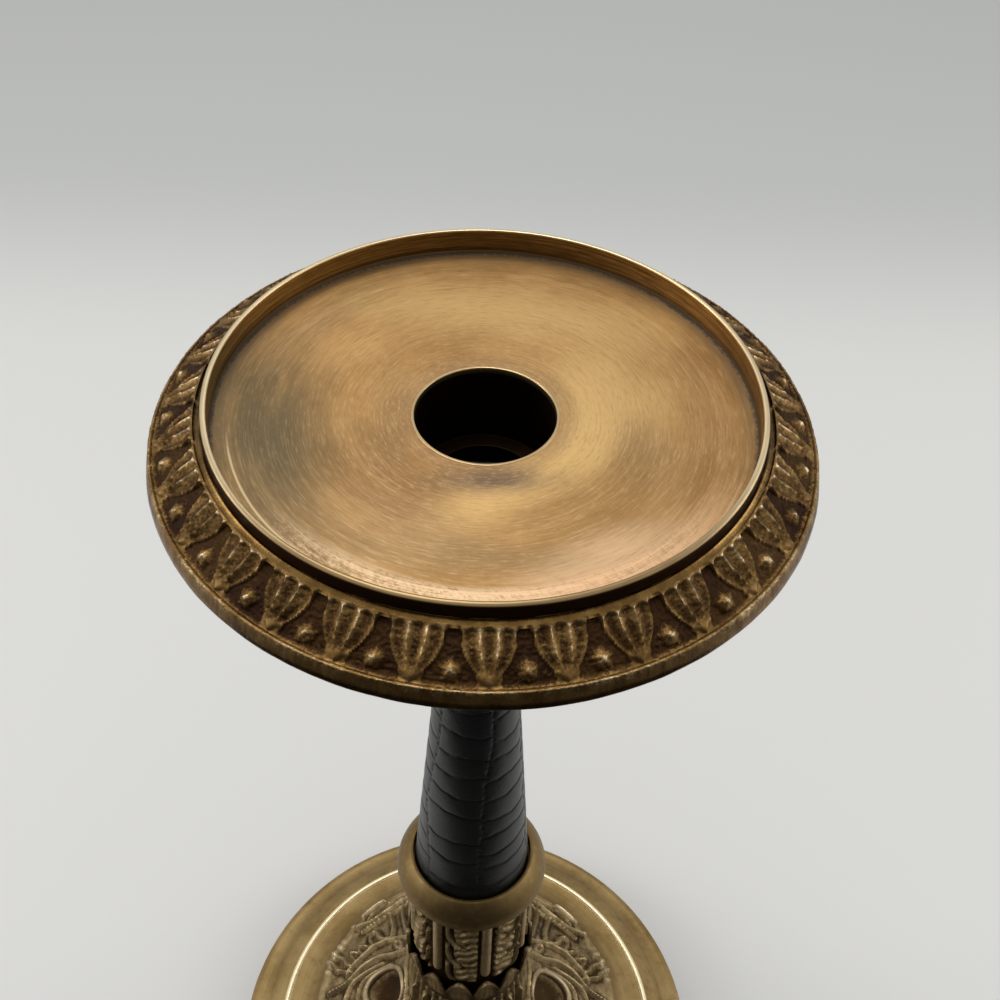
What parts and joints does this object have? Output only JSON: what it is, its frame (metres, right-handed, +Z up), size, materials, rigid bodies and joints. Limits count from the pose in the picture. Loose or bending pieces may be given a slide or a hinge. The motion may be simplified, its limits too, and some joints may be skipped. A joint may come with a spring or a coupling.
{
  "type": "candlestick",
  "caption": "Brass candlestick with a leaf-edged dish and a candle socket on a tapered leather column, a scroll-work dome and a round moulded foot.",
  "frame": {"origin": "centre of the underside of the felt pad, on the table", "axes": "+Z up the column and out of the candle socket; -Y towards the viewer of the picture; the ornament repeats round Z"},
  "size_m": [0.1204, 0.1204, 0.24],
  "materials": {
    "green_felt": "matt wool felt",
    "fibre_board": "plain pressed board",
    "cast_brass": "antique bronze-brown in the hollows, rubbed on the ridges",
    "turned_brass": "satin antique brass with turning marks",
    "bright_brass": "bright turned brass",
    "black_leather": "black leather with crocodile embossing, soft sheen",
    "core_wood": "bare turned beech",
    "zinc_steel": "zinc plated"
  },
  "bodies": {
    "root": {"felt_pad": "green_felt", "bottom_cover": "fibre_board", "foot_border": "cast_brass", "foot_moulding": "turned_brass", "clamp_plate": "zinc_steel", "scroll_dome": "cast_brass", "neck": "cast_brass", "calyx": "cast_brass", "collar": "turned_brass", "column_core": "core_wood", "leather_wrap": "black_leather", "capital_ring": "turned_brass", "capital": "turned_brass", "leaf_rim": "cast_brass", "dish": "turned_brass", "candle_socket": "bright_brass", "tie_rod": "zinc_steel", "top_washer": "zinc_steel", "top_nut": "zinc_steel", "foot_washer": "zinc_steel", "foot_nut": "zinc_steel"}
  },
  "joints": []
}
